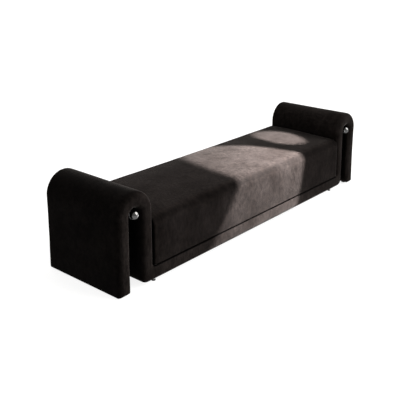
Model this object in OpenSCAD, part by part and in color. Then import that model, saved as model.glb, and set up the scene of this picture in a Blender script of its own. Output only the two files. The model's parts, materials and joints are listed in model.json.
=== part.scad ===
// Upholstered bench: a padded ribbon folds down over each end as a slotted arm and runs
// under a long seat block. A steel ball closes each end of each slot.
// Origin: on the floor under the middle of the bench. +X along its length, -Y is the front.

/* [Overall size] */
// Length over both arms
bench_length = 2600; // [1800:10:3200]
// Depth from the front face to the back face
bench_depth = 640; // [560:5:800]
// Height of the arm crowns above the floor
arm_height = 605; // [560:5:760]
// Height of the highest point of the seat
seat_height = 424; // [380:1:480]

/* [Padded ribbon] */
// Thickness of the ribbon that makes the arms and the base
slab_t = 92; // [90:1:120]
// Width of the slot in each arm
slot_w = 86; // [64:1:100]
// Rounding of the ribbon's front edges
edge_r = 34; // [16:1:40]
// Rounding of the ribbon's firmer back edges
back_r = 12; // [8:1:20]
// Rounding of the sides of an outer leg's foot
sole_r = 8; // [6:1:12]
// Outer rounding where an inner leg turns into the base
corner_r = 48; // [45:1:85]
// Rounding of the upper edges of the base, along the seam with the seat
base_top_r = 12; // [8:1:20]
// Gap between the floor and the outer legs
leg_clear = 5; // [4:0.5:12]
// Gap between the floor and the base
base_clear = 22; // [18:1:40]

/* [Seat block] */
// Radius of the soft front edge of the seat
seat_front_r = 65; // [40:1:90]
// Radius of the firmer back edge of the seat
seat_back_r = 14; // [12:1:60]
// Rise of the crowned top between the front and the back
seat_crown = 8; // [4:1:20]
// Rounding of the lower and end edges of the seat
seat_side_r = 12; // [8:1:20]
// Gap between each end of the seat and the arm beside it
seat_gap = 0.5; // [0.3:0.1:4]
// Foam over the webbing at the middle of the seat
seat_foam_t = 85; // [60:1:110]
// Foam between each end of the seat frame and its cover
seat_end_foam_t = 12; // [8:1:25]
// Width of cover turned in under the seat and under the base
turn_in_w = 60; // [40:1:70]

/* [Covers and padding] */
// Thickness of the pile fabric with its wadding
cover_t = 4; // [3:0.5:6]
// Depth of cover and foam over the frame
pad_t = 25; // [20:1:30]

/* [Arm frame] */
// Thickness of each plywood rib
rib_t = 18; // [15:1:24]
// Number of ribs in each arm
rib_count = 4; // [4:2:6]
// Thickness of the bent plywood skins
skin_t = 4; // [3:0.5:6]
// Thickness of the battens let into the ribs
batten_t = 15; // [12:1:16]
// Width of the battens
batten_w = 44; // [34:1:60]
// Diameter of the lightening holes in the ribs
rib_hole_d = 14; // [8:1:16]
// Number of lightening holes in each leg of a rib, on each side of its batten
rib_hole_count = 2; // [1:1:3]
// Spacing of the lightening holes
rib_hole_gap = 40; // [30:1:50]

/* [Base frame] */
// Width of the front and back rails
rail_w = 60; // [50:1:80]
// Width of the crossbars
bar_w = 45; // [40:1:60]
// Number of inner crossbars and seat ribs
bar_count = 5; // [3:2:5]
// Spacing of the inner crossbars and seat ribs
bar_gap = 400; // [250:5:420]
// Thickness of the plywood deck
deck_t = 9; // [6:1:12]
// Thickness of the dust cloth under the base
dust_t = 1; // [0.8:0.1:2]

/* [Seat frame] */
// Thickness of the boards around the seat frame
board_t = 22; // [18:1:30]
// Height of the seat ribs
seat_rib_h = 120; // [90:1:140]
// Thickness of the webbing straps
strap_t = 2; // [1.5:0.1:3]
// Width of the webbing straps
strap_w = 60; // [40:1:80]
// Number of straps from front to back
short_strap_count = 15; // [9:2:19]
// Spacing of the straps from front to back
short_strap_gap = 130; // [100:1:150]
// Number of straps along the seat
long_strap_count = 4; // [3:1:5]
// Spacing of the straps along the seat
long_strap_gap = 125; // [100:1:140]

/* [Rod and balls] */
// Diameter of the polished balls
ball_d = 55; // [45:1:60]
// Distance of a ball's centre behind the face of the arm
ball_inset = 22; // [15:1:30]
// Diameter of the rod along the top of each slot
rod_d = 20; // [16:1:24]
// Depth of the rod's end in the ball, measured towards the ball's centre
rod_stop = 3; // [0:1:8]
// Diameter of the posts that carry the rod
post_d = 14; // [12:1:16]
// Depth of a post in the crown batten
post_grip = 10; // [6:1:12]
// Number of posts on each rod
post_count = 3; // [3:2:5]
// Diameter of the screws through the rod into the posts
rod_screw_d = 6; // [5:0.5:7]
// Length of a screw in its post
rod_screw_grip = 18; // [12:1:24]

/* [Feet] */
// Diameter of a levelling foot
foot_d = 25; // [20:1:32]
// Height of the nylon pad of a levelling foot
foot_pad_h = 8; // [6:1:10]
// Diameter of the threaded stud
stud_d = 10; // [8:1:12]
// Width across the flats of the stud's nut
stud_nut_af = 15; // [14:1:19]
// Height of the stud's nut
stud_nut_h = 6; // [4:1:8]
// Distance of the end feet in from the arms
foot_inset_x = 32; // [28:1:32]
// Distance of the end feet in from the front and back faces
foot_inset_y = 45; // [40:1:60]
// Distance of the middle feet from the long centre line
mid_foot_y = 175; // [160:1:190]
// Wall of the threaded insert that holds a stud
insert_wall = 3; // [2:0.5:4]
// Diameter of the insert's flange
insert_flange_d = 24; // [20:1:26]
// Thickness of the insert's flange
insert_flange_t = 1.5; // [1:0.5:2]
// Diameter of the glides under the outer legs
glide_d = 30; // [24:1:36]
// Diameter of the glides' nails
glide_nail_d = 5; // [4:0.5:6]
// Length of a glide's nail in the leg's sill
glide_nail_grip = 22; // [15:1:30]
// Distance of the glides in from the front and back faces
glide_inset = 60; // [50:1:120]

/* [Bolts] */
// Diameter of the bolts that join the arms to the base
arm_bolt_d = 10; // [8:1:10]
// Spacing of the arm bolts
arm_bolt_gap = 130; // [100:1:140]
// Distance of the arm bolts' heads from the joint between arm and base
arm_bolt_seat = 38; // [32:1:40]
// Diameter of the bolts that hold the seat down
seat_bolt_d = 8; // [6:1:10]
// Distance of the seat bolts from the long centre line
seat_bolt_y = 120; // [90:1:130]
// Length of a seat bolt in the seat rib
seat_bolt_grip = 45; // [30:1:60]

/* [Fits] */
// Gap between a soft piece or a curved face and its neighbour
fit = 0.3; // [0.2:0.05:0.5]
// Gap all round a shaft, stud or screw in its hole
shaft_fit = 0.1; // [0.05:0.05:0.2]

/* [Hidden] */
$fn = 96;
half_length = bench_length / 2;
arm_w = 2 * slab_t + slot_w;
arm_x = half_length - arm_w / 2;
crown_z = arm_height - arm_w / 2;
path_r = (slot_w + slab_t) / 2;
outer_leg_x = arm_x + path_r;
inner_leg_x = arm_x - path_r;
joint_x = half_length - arm_w;
turn_x = joint_x + slab_t - corner_r;
turn_z = base_clear + corner_r;
base_top = base_clear + slab_t;
base_mid_z = base_clear + slab_t / 2;
lining = cover_t + fit;
core_depth = bench_depth - 2 * pad_t;
core_half = slab_t / 2 - pad_t;
core_z0 = base_clear + pad_t;
leg_core_z0 = leg_clear + pad_t;
core_z1 = base_top - pad_t;
bar_h = core_z1 - core_z0 - deck_t;
rib_half = core_half - skin_t - fit;
rib_pitch = (core_depth - rib_t) / (rib_count - 1);
batten_z = (core_z1 + crown_z) / 2;
crown_batten_z = crown_z + path_r - rib_half + fit;
crown_batten_w = batten_w * 0.9;
ball_y = bench_depth / 2 - ball_inset;
rod_end = ball_y - rod_stop;
post_y = rib_pitch;
post_top = crown_batten_z + post_grip;
screw_head_h = rod_screw_d * 0.8;
seat_z0 = base_top + fit;
seat_half = joint_x - seat_gap;
crown_circle_r = (pow(bench_depth / 2, 2) + pow(seat_crown, 2)) / (2 * seat_crown);
crown_circle_z = seat_height - crown_circle_r;
seat_frame_half = seat_half - lining - seat_end_foam_t;
seat_frame_z0 = seat_z0 + lining;
webbing_top = seat_height - lining - seat_foam_t;
seat_frame_top = webbing_top - 2 * strap_t;
window_x = joint_x - turn_in_w;
window_y = core_depth / 2 - turn_in_w;
foot_x = joint_x - foot_inset_x;
foot_y = bench_depth / 2 - foot_inset_y;
insert_len = bar_h - 6;
stud_top = core_z0 + insert_len - 3;
stud_seat = 3;
glide_y = bench_depth / 2 - glide_inset;
glide_h = leg_clear - fit;
arm_bolt_z = core_z0 + bar_h / 2;
nut_h = arm_bolt_d * 0.8;
bolt_head_h = arm_bolt_d * 0.64;
seat_bolt_head_h = seat_bolt_d * 0.66;
seat_bolt_sink = seat_bolt_head_h + 1;
seat_bolt_top = seat_frame_z0 + seat_bolt_grip;
pile = [0.13, 0.11, 0.10];
foam_yellow = [0.86, 0.80, 0.62];
plywood = [0.80, 0.66, 0.47];
timber = [0.72, 0.56, 0.36];
steel = [0.80, 0.81, 0.82];
zinc = [0.62, 0.63, 0.62];
black_cloth = [0.06, 0.06, 0.06];
nylon = [0.05, 0.05, 0.05];

// Evenly spaced places, centred on zero
function spread(count, gap) = [for (i = [0:count - 1]) (i - (count - 1) / 2) * gap];

// Height of the middle of a rounded seat edge that runs smoothly into the crowned top
function seat_arc_z(r) = crown_circle_z
    + sqrt(pow(crown_circle_r - r, 2) - pow(bench_depth / 2 - r, 2));

// Place of that middle, moved away from the crown's own middle by a factor
function seat_arc(side, r, reach) = [
    side * (bench_depth / 2 - r) * reach,
    crown_circle_z + (seat_arc_z(r) - crown_circle_z) * reach,
];

// Where the six levelling feet stand
FRONT_LEFT = [-foot_x, -foot_y];
FRONT_RIGHT = [foot_x, -foot_y];
BACK_LEFT = [-foot_x, foot_y];
BACK_RIGHT = [foot_x, foot_y];
FRONT_MIDDLE = [0, -mid_foot_y];
BACK_MIDDLE = [0, mid_foot_y];
FEET = [FRONT_LEFT, FRONT_RIGHT, BACK_LEFT, BACK_RIGHT, FRONT_MIDDLE, BACK_MIDDLE];

// Outlines

// Rectangle centred on the origin, with a radius for each corner in turn: -X -Y, +X -Y, +X +Y, -X +Y
module rounded_rect(w, d, radii) {
    x = w / 2;
    y = d / 2;
    polygon([
        [-x, radii[0] - y],
        [radii[0] - x, -y],
        [x - radii[1], -y],
        [x, radii[1] - y],
        [x, y - radii[2]],
        [x - radii[2], y],
        [radii[3] - x, y],
        [-x, y - radii[3]],
    ]);
    corners = [[-1, -1], [1, -1], [1, 1], [-1, 1]];
    for (i = [0:3])
        translate([corners[i][0] * (x - radii[i]), corners[i][1] * (y - radii[i])])
            circle(radii[i]);
}

// Cross section of the ribbon in the arms, drawn in by an inset
module arm_section(inset) {
    rounded_rect(slab_t - 2 * inset, bench_depth - 2 * inset,
        [edge_r - inset, edge_r - inset, back_r - inset, back_r - inset]);
}

// Cross section of the ribbon in the base, with its underside towards +X
module base_section(inset) {
    rounded_rect(slab_t - 2 * inset, bench_depth - 2 * inset,
        [base_top_r - inset, edge_r - inset, back_r - inset, base_top_r - inset]);
}

// Band that follows the middle of the arm between two offsets, ending on the sills
module arm_band(low, high) {
    translate([outer_leg_x + low, core_z1])
        square([high - low, crown_z - core_z1]);
    translate([inner_leg_x - high, core_z1])
        square([high - low, crown_z - core_z1]);
    translate([arm_x, crown_z])
        intersection() {
            difference() {
                circle(path_r + high);
                circle(path_r + low);
            }
            translate([-arm_w, 0])
                square([2 * arm_w, arm_w]);
        }
}

// Foot of the outer leg's frame
module outer_sill_outline(grow) {
    translate([outer_leg_x - core_half - grow, leg_core_z0 - grow])
        square([2 * (core_half + grow), core_z1 - leg_core_z0 + grow]);
}

// Foot of the inner leg's frame: a timber that fills the turn into the base
module inner_sill_outline(grow) {
    intersection() {
        translate([joint_x, core_z0 - grow])
            square([slab_t - pad_t + grow, core_z1 - core_z0 + grow]);
        union() {
            translate([turn_x, turn_z])
                circle(corner_r - pad_t + grow);
            translate([joint_x, base_clear])
                square([turn_x - joint_x, slab_t]);
            translate([joint_x, turn_z])
                square([slab_t, slab_t]);
        }
    }
}

// Section of the seat block: a crowned top that runs smoothly into its two long edges
module seat_section(inset) {
    half_w = bench_depth / 2 - inset;
    foot_r = seat_side_r - inset;
    low = seat_z0 + inset;
    edges = [[-1, seat_front_r], [1, seat_back_r]];
    middles = [for (e = edges) seat_arc(e[0], e[1], 1)];
    beyond = [for (e = edges) seat_arc(e[0], e[1], (crown_circle_r + 5) / (crown_circle_r - e[1]))];
    under = min(middles[0][1], middles[1][1]) - 1;
    translate([foot_r - half_w, low])
        square([2 * (half_w - foot_r), foot_r + 1]);
    for (i = [0, 1]) {
        side = edges[i][0];
        translate([(side - 1) / 2 * half_w, low + foot_r])
            square([half_w, middles[i][1] - low - foot_r]);
        translate([side * (half_w - foot_r), low + foot_r])
            circle(foot_r);
        translate(middles[i])
            circle(edges[i][1] - inset);
    }
    intersection() {
        translate([0, crown_circle_z])
            circle(crown_circle_r - inset, $fn = 720);
        polygon([
            [middles[0][0], under],
            [middles[1][0], under],
            middles[1],
            beyond[1],
            [beyond[1][0], seat_height + 1],
            [beyond[0][0], seat_height + 1],
            beyond[0],
            middles[0],
        ]);
    }
}

// Sweeps

// Extrude an X-Z outline along Y, centred
module along_y(depth) {
    translate([0, depth / 2, 0])
        rotate([90, 0, 0])
            linear_extrude(depth)
                children();
}

// Extrude a Y-Z outline along X, centred
module along_x(length) {
    translate([-length / 2, 0, 0])
        rotate([90, 0, 90])
            linear_extrude(length)
                children();
}

// Outer leg of the right arm, with a flat foot that turns up softly at the front
module outer_leg_form(inset) {
    low = leg_clear + inset;
    sole = sole_r - inset;
    tall = 2 * (crown_z - low);
    intersection() {
        translate([outer_leg_x, 0, low])
            linear_extrude(crown_z - low)
                arm_section(inset);
        translate([outer_leg_x, 0, crown_z])
            along_x(slab_t + 2)
                rounded_rect(bench_depth - 2 * inset, tall, [edge_r - inset, sole, sole, sole]);
        translate([outer_leg_x, 0, crown_z])
            along_y(bench_depth + 2)
                rounded_rect(slab_t - 2 * inset, tall, [sole, sole, sole, sole]);
    }
}

// Crown of the right arm: the ribbon's section swept half a turn over the slot
module crown_form(inset) {
    translate([arm_x, 0, crown_z])
        mirror([0, 1, 0])
            rotate([90, 0, 0])
                rotate_extrude(angle = 180)
                    translate([path_r, 0])
                        arm_section(inset);
}

// Inner leg of the right arm with its turn into the base, running past the joint by over
module inner_leg_form(inset, over) {
    translate([inner_leg_x, 0, turn_z])
        linear_extrude(crown_z - turn_z)
            arm_section(inset);
    translate([turn_x, 0, turn_z])
        rotate([-90, 0, 0])
            rotate_extrude(angle = 90)
                intersection() {
                    translate([corner_r - slab_t / 2, 0])
                        arm_section(inset);
                    translate([0, -bench_depth])
                        square([slab_t, 2 * bench_depth]);
                }
    translate([joint_x - over, 0, base_mid_z])
        rotate([0, 90, 0])
            linear_extrude(turn_x - joint_x + over)
                base_section(inset);
}

// Base between the arms, running past both joints by over
module base_form(inset, over) {
    translate([-joint_x - over, 0, base_mid_z])
        rotate([0, 90, 0])
            linear_extrude(2 * (joint_x + over))
                base_section(inset);
}

// Seat block: its crowned section, with rounded ends
module seat_form(inset) {
    half_l = seat_half - inset;
    edges = [for (i = [0:3]) seat_side_r - inset];
    low = seat_z0 + inset;
    high = seat_height - inset;
    intersection() {
        along_x(2 * half_l)
            seat_section(inset);
        translate([0, 0, low])
            linear_extrude(high - low + 1)
                rounded_rect(2 * half_l, bench_depth - 2 * inset, edges);
        translate([0, 0, (low + high) / 2])
            along_y(bench_depth + 2)
                rounded_rect(2 * half_l, high - low, edges);
    }
}

// Shared pieces

// Hole or shaft along Z from one height to another
module upright(x, y, z0, z1, r) {
    translate([x, y, z0])
        cylinder(h = z1 - z0, r = r);
}

// Hole or shaft along X from one place to another
module level(y, z, x0, x1, r) {
    translate([x0, y, z])
        rotate([0, 90, 0])
            cylinder(h = x1 - x0, r = r);
}

// Holes for the posts that carry the rod, through the slot side of the crown
module post_holes(r) {
    for (y = spread(post_count, post_y))
        upright(arm_x, y, crown_z, post_top + fit, r);
}

// Holes for the nails of the glides
module nail_holes(r) {
    for (y = [-glide_y, glide_y])
        upright(outer_leg_x, y, 0, core_z0 + glide_nail_grip + fit, r);
}

// Holes for the studs of the levelling feet
module foot_holes(z0, z1, r) {
    for (place = FEET)
        upright(place[0], place[1], z0, z1, r);
}

// Holes for the bolts that hold the seat down
module seat_bolt_holes(z0, z1, r) {
    for (x = spread(bar_count, bar_gap), y = [-seat_bolt_y, seat_bolt_y])
        upright(x, y, z0, z1, r);
}

// Holes for the bolts between arm and base
module arm_bolt_holes(x0, x1, r) {
    for (y = spread(4, arm_bolt_gap))
        level(y, arm_bolt_z, x0, x1, r);
}

// Hexagon nut or bolt head standing along Z
module hexagon(af, h) {
    cylinder(h = h, d = af / cos(30), $fn = 6);
}

// Arm pieces, drawn for the right arm

module arm_sills() {
    color(timber) {
        difference() {
            along_y(core_depth)
                outer_sill_outline(0);
            nail_holes(glide_nail_d / 2 + shaft_fit);
        }
        difference() {
            along_y(core_depth)
                inner_sill_outline(0);
            arm_bolt_holes(joint_x - 1, half_length, arm_bolt_d / 2 + shaft_fit);
            arm_bolt_holes(joint_x + arm_bolt_seat, half_length, arm_bolt_d * 1.1);
        }
    }
}

module batten_outlines(grow) {
    reach = batten_t + grow;
    translate([outer_leg_x + rib_half - reach, batten_z - batten_w / 2 - grow])
        square([reach + grow, batten_w + 2 * grow]);
    translate([inner_leg_x - rib_half - grow, batten_z - batten_w / 2 - grow])
        square([reach + grow, batten_w + 2 * grow]);
    translate([arm_x - crown_batten_w / 2 - grow, crown_batten_z - 2 * grow])
        square([crown_batten_w + 2 * grow, batten_t + 3 * grow]);
}

module arm_ribs() {
    color(plywood)
        for (y = spread(rib_count, rib_pitch))
            translate([0, y, 0])
                along_y(rib_t)
                    difference() {
                        arm_band(-rib_half, rib_half);
                        batten_outlines(fit);
                        translate([arm_x - crown_batten_w / 2 - fit, crown_z])
                            square([crown_batten_w + 2 * fit, crown_batten_z - crown_z]);
                        for (x = [outer_leg_x, inner_leg_x], side = [-1, 1], i = [0:rib_hole_count - 1])
                            translate([x, batten_z + side * (batten_w + rib_hole_gap * i)])
                                circle(d = rib_hole_d);
                    }
}

module arm_battens() {
    color(timber)
        difference() {
            along_y(core_depth)
                batten_outlines(0);
            post_holes(post_d / 2 + shaft_fit);
        }
}

module arm_outer_skin() {
    color(plywood)
        along_y(core_depth)
            arm_band(core_half - skin_t, core_half);
}

module arm_slot_skin() {
    color(plywood)
        difference() {
            along_y(core_depth)
                arm_band(-core_half, skin_t - core_half);
            post_holes(post_d / 2 + fit);
        }
}

// The space that the frame takes inside the foam of the right arm
module arm_core() {
    along_y(core_depth + 2 * fit) {
        arm_band(-core_half - fit, core_half + fit);
        outer_sill_outline(fit);
        inner_sill_outline(fit);
        translate([inner_leg_x - core_half - fit, core_z1 - 1])
            square([2 * (core_half + fit), 2]);
        translate([joint_x - 1, core_z0 - fit])
            square([2, core_z1 - core_z0 + 2 * fit]);
        translate([joint_x, core_z1 - 1])
            square([slab_t - pad_t, 1 + fit]);
    }
}

module outer_leg_foam() {
    color(foam_yellow)
        difference() {
            outer_leg_form(lining);
            arm_core();
            nail_holes(glide_nail_d / 2 + fit);
        }
}

module crown_foam() {
    color(foam_yellow)
        difference() {
            crown_form(lining);
            arm_core();
            post_holes(post_d / 2 + fit);
        }
}

module inner_leg_foam() {
    color(foam_yellow)
        difference() {
            inner_leg_form(lining, 0);
            arm_core();
        }
}

module arm_cover() {
    color(pile)
        difference() {
            union() {
                outer_leg_form(0);
                crown_form(0);
                inner_leg_form(0, 0);
            }
            outer_leg_form(cover_t);
            crown_form(cover_t);
            inner_leg_form(cover_t, 1);
            post_holes(post_d / 2 + fit);
            nail_holes(glide_nail_d / 2 + fit);
        }
}

module slot_rod() {
    color(steel)
        difference() {
            translate([arm_x, rod_end, crown_z])
                rotate([90, 0, 0])
                    cylinder(h = 2 * rod_end, d = rod_d);
            for (y = spread(post_count, post_y))
                upright(arm_x, y, crown_z - rod_d, crown_z + rod_d, rod_screw_d / 2 + shaft_fit);
        }
}

module rod_posts() {
    color(steel)
        difference() {
            for (y = spread(post_count, post_y))
                upright(arm_x, y, crown_z, post_top, post_d / 2);
            translate([arm_x, bench_depth, crown_z])
                rotate([90, 0, 0])
                    cylinder(h = 2 * bench_depth, r = rod_d / 2 + shaft_fit);
            for (y = spread(post_count, post_y))
                upright(arm_x, y, crown_z, crown_z + rod_d / 2 + rod_screw_grip + fit,
                    rod_screw_d / 2 + shaft_fit);
        }
}

module rod_screws() {
    color(steel)
        for (y = spread(post_count, post_y)) {
            upright(arm_x, y, crown_z - rod_d / 2, crown_z + rod_d / 2 + rod_screw_grip, rod_screw_d / 2);
            upright(arm_x, y, crown_z - rod_d / 2 - screw_head_h, crown_z - rod_d / 2, rod_screw_d * 0.8);
        }
}

// Ball on one end of the rod, bored to take it; side is -1 at the front and 1 at the back
module slot_ball(side) {
    bore_end = ball_y - rod_end - fit;
    color(steel)
        translate([arm_x, side * ball_y, crown_z])
            rotate([90 * side, 0, 0])
                rotate_extrude()
                    difference() {
                        intersection() {
                            circle(d = ball_d);
                            translate([0, -ball_d])
                                square([ball_d, 2 * ball_d]);
                        }
                        translate([-1, bore_end])
                            square([rod_d / 2 + shaft_fit + 1, ball_d]);
                    }
}

module leg_glides() {
    color(nylon)
        for (y = [-glide_y, glide_y]) {
            upright(outer_leg_x, y, 0, glide_h, glide_d / 2);
            upright(outer_leg_x, y, 0, core_z0 + glide_nail_grip, glide_nail_d / 2);
        }
}

module arm_bolts() {
    tail = joint_x - bar_w - nut_h - 4;
    color(zinc)
        for (y = spread(4, arm_bolt_gap)) {
            level(y, arm_bolt_z, tail, joint_x + arm_bolt_seat, arm_bolt_d / 2);
            translate([joint_x + arm_bolt_seat, y, arm_bolt_z])
                rotate([0, 90, 0])
                    hexagon(arm_bolt_d * 1.6, bolt_head_h);
            translate([joint_x - bar_w - nut_h, y, arm_bolt_z])
                rotate([0, 90, 0])
                    difference() {
                        hexagon(arm_bolt_d * 1.6, nut_h);
                        translate([0, 0, -1])
                            cylinder(h = nut_h + 2, r = arm_bolt_d / 2 + shaft_fit);
                    }
        }
}

module on_left() {
    mirror([1, 0, 0])
        children();
}

module left_arm_sills() { on_left() arm_sills(); }
module left_arm_ribs() { on_left() arm_ribs(); }
module left_arm_battens() { on_left() arm_battens(); }
module left_arm_outer_skin() { on_left() arm_outer_skin(); }
module left_arm_slot_skin() { on_left() arm_slot_skin(); }
module left_outer_leg_foam() { on_left() outer_leg_foam(); }
module left_crown_foam() { on_left() crown_foam(); }
module left_inner_leg_foam() { on_left() inner_leg_foam(); }
module left_arm_cover() { on_left() arm_cover(); }
module left_slot_rod() { on_left() slot_rod(); }
module left_rod_posts() { on_left() rod_posts(); }
module left_rod_screws() { on_left() rod_screws(); }
module left_front_ball() { on_left() slot_ball(-1); }
module left_back_ball() { on_left() slot_ball(1); }
module left_leg_glides() { on_left() leg_glides(); }
module left_arm_bolts() { on_left() arm_bolts(); }
module right_arm_sills() { arm_sills(); }
module right_arm_ribs() { arm_ribs(); }
module right_arm_battens() { arm_battens(); }
module right_arm_outer_skin() { arm_outer_skin(); }
module right_arm_slot_skin() { arm_slot_skin(); }
module right_outer_leg_foam() { outer_leg_foam(); }
module right_crown_foam() { crown_foam(); }
module right_inner_leg_foam() { inner_leg_foam(); }
module right_arm_cover() { arm_cover(); }
module right_slot_rod() { slot_rod(); }
module right_rod_posts() { rod_posts(); }
module right_rod_screws() { rod_screws(); }
module right_front_ball() { slot_ball(-1); }
module right_back_ball() { slot_ball(1); }
module right_leg_glides() { leg_glides(); }
module right_arm_bolts() { arm_bolts(); }

// Base pieces

module base_rails() {
    length = 2 * (joint_x - bar_w);
    color(timber)
        difference() {
            for (side = [-1, 1])
                translate([-length / 2, side * (core_depth - rail_w) / 2 - rail_w / 2, core_z0])
                    cube([length, rail_w, bar_h]);
            foot_holes(core_z0 - 1, core_z0 + insert_len + 1, stud_d / 2 + insert_wall + shaft_fit);
        }
}

module base_crossbars() {
    inner_depth = core_depth - 2 * rail_w;
    color(timber)
        difference() {
            union() {
                for (side = [-1, 1])
                    translate([side * (joint_x - bar_w / 2) - bar_w / 2, -core_depth / 2, core_z0])
                        cube([bar_w, core_depth, bar_h]);
                for (x = spread(bar_count, bar_gap))
                    translate([x - bar_w / 2, -inner_depth / 2, core_z0])
                        cube([bar_w, inner_depth, bar_h]);
            }
            foot_holes(core_z0 - 1, core_z0 + insert_len + 1, stud_d / 2 + insert_wall + shaft_fit);
            seat_bolt_holes(core_z0 - 1, core_z1, seat_bolt_d / 2 + shaft_fit);
            seat_bolt_holes(core_z0 - 1, core_z0 + seat_bolt_sink, seat_bolt_d * 1.1);
            arm_bolt_holes(joint_x - bar_w - 1, joint_x + 1, arm_bolt_d / 2 + shaft_fit);
            on_left()
                arm_bolt_holes(joint_x - bar_w - 1, joint_x + 1, arm_bolt_d / 2 + shaft_fit);
        }
}

module base_deck() {
    color(plywood)
        difference() {
            translate([-joint_x, -core_depth / 2, core_z1 - deck_t])
                cube([2 * joint_x, core_depth, deck_t]);
            seat_bolt_holes(core_z0, base_top, seat_bolt_d / 2 + shaft_fit);
        }
}

// Opening in the underside of the base and of the seat, inside the turned-in cover
module underside_window(z0, z1) {
    translate([-window_x, -window_y, z0])
        cube([2 * window_x, 2 * window_y, z1 - z0]);
}

module base_foam() {
    color(foam_yellow)
        difference() {
            base_form(lining, 0);
            translate([-joint_x - 1, -core_depth / 2 - fit, core_z0 - fit])
                cube([2 * joint_x + 2, core_depth + 2 * fit, core_z1 - core_z0 + 2 * fit]);
            underside_window(base_clear, core_z0);
            foot_holes(base_clear, core_z0, insert_flange_d / 2 + fit);
            seat_bolt_holes(core_z1, base_top, seat_bolt_d / 2 + fit);
        }
}

module base_cover() {
    color(pile)
        difference() {
            base_form(0, 0);
            base_form(cover_t, 1);
            underside_window(0, core_z0);
            foot_holes(0, core_z0, stud_d / 2 + 1);
            seat_bolt_holes(core_z1, base_top + 1, seat_bolt_d / 2 + fit);
        }
}

module base_dust_cloth() {
    color(black_cloth)
        difference() {
            translate([fit - window_x, fit - window_y, core_z0 - dust_t])
                cube([2 * (window_x - fit), 2 * (window_y - fit), dust_t]);
            foot_holes(base_clear, core_z0 + 1, insert_flange_d / 2 + fit);
        }
}

module foot_inserts() {
    color(zinc)
        for (place = FEET)
            difference() {
                union() {
                    upright(place[0], place[1], core_z0, core_z0 + insert_len, stud_d / 2 + insert_wall);
                    upright(place[0], place[1], core_z0 - insert_flange_t, core_z0, insert_flange_d / 2);
                }
                upright(place[0], place[1], base_clear, core_z1, stud_d / 2 + shaft_fit);
            }
}

// Seat pieces

module seat_frame() {
    height = seat_frame_top - seat_frame_z0;
    inner_depth = core_depth - 2 * board_t;
    color(timber)
        difference() {
            union() {
                difference() {
                    translate([-seat_frame_half, -core_depth / 2, seat_frame_z0])
                        cube([2 * seat_frame_half, core_depth, height]);
                    translate([board_t - seat_frame_half, -inner_depth / 2, seat_frame_z0 - 1])
                        cube([2 * (seat_frame_half - board_t), inner_depth, height + 2]);
                }
                for (x = spread(bar_count, bar_gap))
                    translate([x - bar_w / 2, -inner_depth / 2 - 1, seat_frame_z0])
                        cube([bar_w, inner_depth + 2, seat_rib_h]);
            }
            seat_bolt_holes(base_top, seat_bolt_top + 1, seat_bolt_d / 2 + shaft_fit);
        }
}

module seat_webbing() {
    color(black_cloth) {
        for (x = spread(short_strap_count, short_strap_gap))
            translate([x - strap_w / 2, -core_depth / 2, seat_frame_top])
                cube([strap_w, core_depth, strap_t]);
        for (y = spread(long_strap_count, long_strap_gap))
            translate([-seat_frame_half, y - strap_w / 2, seat_frame_top + strap_t])
                cube([2 * seat_frame_half, strap_w, strap_t]);
    }
}

module seat_foam() {
    color(foam_yellow)
        difference() {
            seat_form(lining);
            translate([-seat_frame_half - fit, -core_depth / 2 - fit, base_top])
                cube([2 * (seat_frame_half + fit), core_depth + 2 * fit, webbing_top - base_top]);
        }
}

module seat_cover() {
    color(pile)
        difference() {
            seat_form(0);
            seat_form(cover_t);
            underside_window(base_top, seat_frame_z0 + 1);
        }
}

module seat_bolts() {
    head_z = core_z0 + seat_bolt_sink - seat_bolt_head_h;
    color(zinc)
        for (x = spread(bar_count, bar_gap), y = [-seat_bolt_y, seat_bolt_y]) {
            upright(x, y, head_z, seat_bolt_top, seat_bolt_d / 2);
            translate([x, y, head_z])
                hexagon(seat_bolt_d * 1.6, seat_bolt_head_h);
        }
}

// Levelling feet, screwed fully home

module foot_stud(place) {
    color(zinc) {
        upright(place[0], place[1], stud_seat, stud_top, stud_d / 2);
        translate([place[0], place[1], foot_pad_h])
            hexagon(stud_nut_af, stud_nut_h);
    }
}

module foot_pad(place) {
    bevel = 1.5;
    color(nylon)
        difference() {
            union() {
                upright(place[0], place[1], 0, foot_pad_h - bevel, foot_d / 2);
                translate([place[0], place[1], foot_pad_h - bevel])
                    cylinder(h = bevel, r1 = foot_d / 2, r2 = foot_d / 2 - bevel);
            }
            upright(place[0], place[1], stud_seat, foot_pad_h + 1, stud_d / 2 + shaft_fit);
        }
}

module front_left_stud() { foot_stud(FRONT_LEFT); }
module front_left_pad() { foot_pad(FRONT_LEFT); }
module front_right_stud() { foot_stud(FRONT_RIGHT); }
module front_right_pad() { foot_pad(FRONT_RIGHT); }
module back_left_stud() { foot_stud(BACK_LEFT); }
module back_left_pad() { foot_pad(BACK_LEFT); }
module back_right_stud() { foot_stud(BACK_RIGHT); }
module back_right_pad() { foot_pad(BACK_RIGHT); }
module front_middle_stud() { foot_stud(FRONT_MIDDLE); }
module front_middle_pad() { foot_pad(FRONT_MIDDLE); }
module back_middle_stud() { foot_stud(BACK_MIDDLE); }
module back_middle_pad() { foot_pad(BACK_MIDDLE); }

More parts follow.
